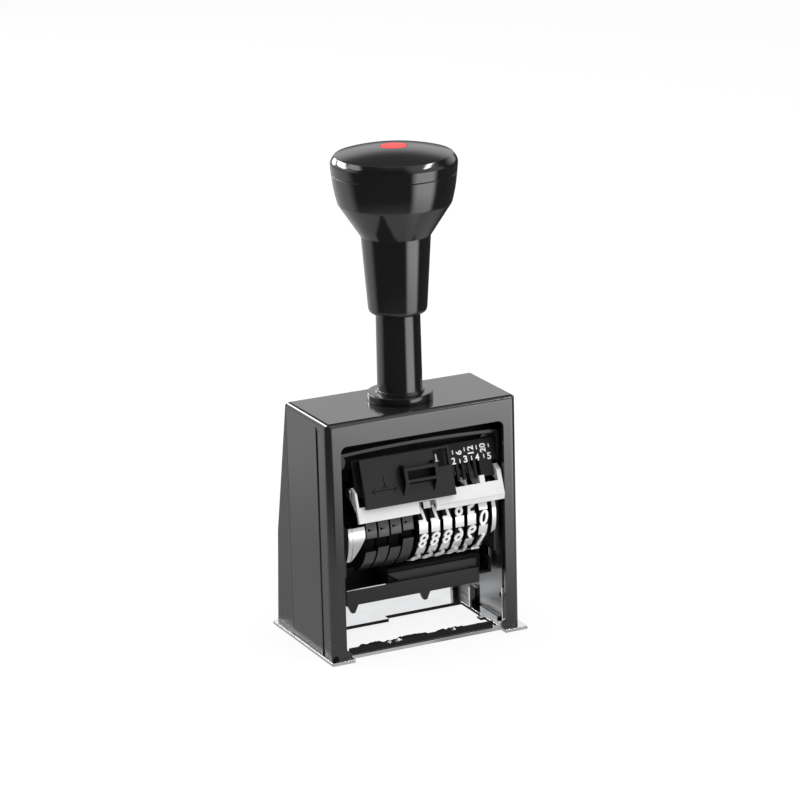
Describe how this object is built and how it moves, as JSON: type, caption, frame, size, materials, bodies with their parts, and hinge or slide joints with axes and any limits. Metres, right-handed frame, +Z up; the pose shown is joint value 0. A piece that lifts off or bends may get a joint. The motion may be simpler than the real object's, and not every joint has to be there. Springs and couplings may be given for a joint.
{
  "type": "numbering machine",
  "caption": "Hand numbering machine, self-inking: gloss black casing on a bright base plate, push-down knob, number wheels, blank wheels, repeat slider and swinging ink pad.",
  "frame": {"origin": "centre of the footprint, on the table under the base plate", "axes": "+Z is up along the handle, -Y is the side with the window, +X is the side of the number wheels"},
  "size_m": [0.0626, 0.0432, 0.1447],
  "materials": {
    "black_gloss": "gloss",
    "black_texture": "textured",
    "black_steel": "satin",
    "chrome_steel": "polished",
    "steel": "zinc plated",
    "brass": "machined",
    "red_plastic": "gloss",
    "type_metal": "engraved, plated",
    "felt": "inked felt"
  },
  "bodies": {
    "frame": {"housing_shell": "black_gloss", "rear_cover": "black_texture", "base_plate": "chrome_steel", "guide_cheek_left": "chrome_steel", "guide_cheek_right": "chrome_steel", "guide_tube": "black_gloss", "tube_nut": "steel", "rod_bush": "brass", "return_spring": "steel", "base_screws": "steel", "cover_screws": "steel"},
    "carriage": {"knob_body": "black_gloss", "knob_cap": "black_gloss", "cap_disc": "red_plastic", "grip_sleeve": "black_gloss", "plunger_rod": "chrome_steel", "spring_washer": "steel", "rod_nut": "steel", "carriage_yoke": "black_steel", "carriage_plate_left": "black_steel", "carriage_plate_right": "black_steel", "end_plate_left": "chrome_steel", "end_plate_right": "chrome_steel", "yoke_screws": "steel", "wheel_axle": "chrome_steel", "axle_clips": "steel", "axle_spacers": "black_steel", "detent_comb": "steel", "mechanism_cover": "black_steel", "front_plate": "black_steel", "panel_bolts": "steel", "bail_pivots": "steel"},
    "pad": {"pad_arm_left": "steel", "pad_arm_right": "steel", "pad_tray": "steel", "pad_rivets": "steel", "pad_cassette": "black_gloss", "ink_pad": "felt"},
    "bail": {"advance_bail": "chrome_steel", "drive_pawl": "chrome_steel"},
    "slider": {"repeat_slider": "black_gloss"},
    "number_1": {"number_wheel_1": "type_metal"},
    "number_2": {"number_wheel_2": "type_metal"},
    "number_3": {"number_wheel_3": "type_metal"},
    "number_4": {"number_wheel_4": "type_metal"},
    "number_5": {"number_wheel_5": "type_metal"},
    "number_6": {"number_wheel_6": "type_metal"},
    "blank_1": {"blank_wheel_1": "black_steel"},
    "blank_2": {"blank_wheel_2": "black_steel"},
    "blank_3": {"blank_wheel_3": "black_steel"},
    "blank_4": {"blank_wheel_4": "black_steel"}
  },
  "joints": [
    {"name": "plunger_slide", "type": "slide", "parent": "frame", "child": "carriage", "axis": [0, 0, -1], "range_m": [0, 0.0222], "stiffness_N_per_m": 300, "springref_m": -0.02, "deforming": ["return_spring"]},
    {"name": "pad_swing", "type": "hinge", "parent": "carriage", "child": "pad", "pos_m": [0, -0.0036, 0.0352], "axis": [1, 0, 0], "range_deg": [0, 90]},
    {"name": "bail_rock", "type": "hinge", "parent": "carriage", "child": "bail", "pos_m": [0, -0.01328, 0.04846], "axis": [1, 0, 0], "range_deg": [0, 8]},
    {"name": "repeat_slide", "type": "slide", "parent": "carriage", "child": "slider", "axis": [1, 0, 0], "range_m": [0, 0.0148]},
    {"name": "number_wheel_turn_1", "type": "hinge", "parent": "carriage", "child": "number_1", "pos_m": [0, -0.0036, 0.0352], "axis": [1, 0, 0], "continuous": true},
    {"name": "number_wheel_turn_2", "type": "hinge", "parent": "carriage", "child": "number_2", "pos_m": [0, -0.0036, 0.0352], "axis": [1, 0, 0], "continuous": true},
    {"name": "number_wheel_turn_3", "type": "hinge", "parent": "carriage", "child": "number_3", "pos_m": [0, -0.0036, 0.0352], "axis": [1, 0, 0], "continuous": true},
    {"name": "number_wheel_turn_4", "type": "hinge", "parent": "carriage", "child": "number_4", "pos_m": [0, -0.0036, 0.0352], "axis": [1, 0, 0], "continuous": true},
    {"name": "number_wheel_turn_5", "type": "hinge", "parent": "carriage", "child": "number_5", "pos_m": [0, -0.0036, 0.0352], "axis": [1, 0, 0], "continuous": true},
    {"name": "number_wheel_turn_6", "type": "hinge", "parent": "carriage", "child": "number_6", "pos_m": [0, -0.0036, 0.0352], "axis": [1, 0, 0], "continuous": true},
    {"name": "blank_wheel_turn_1", "type": "hinge", "parent": "carriage", "child": "blank_1", "pos_m": [0, -0.0036, 0.0352], "axis": [1, 0, 0], "continuous": true},
    {"name": "blank_wheel_turn_2", "type": "hinge", "parent": "carriage", "child": "blank_2", "pos_m": [0, -0.0036, 0.0352], "axis": [1, 0, 0], "continuous": true},
    {"name": "blank_wheel_turn_3", "type": "hinge", "parent": "carriage", "child": "blank_3", "pos_m": [0, -0.0036, 0.0352], "axis": [1, 0, 0], "continuous": true},
    {"name": "blank_wheel_turn_4", "type": "hinge", "parent": "carriage", "child": "blank_4", "pos_m": [0, -0.0036, 0.0352], "axis": [1, 0, 0], "continuous": true}
  ],
  "couplings": [
    {"joint": "pad_swing", "follows": "plunger_slide", "rad_per_m": 70.7},
    {"joint": "bail_rock", "follows": "plunger_slide", "rad_per_m": 6.28}
  ]
}
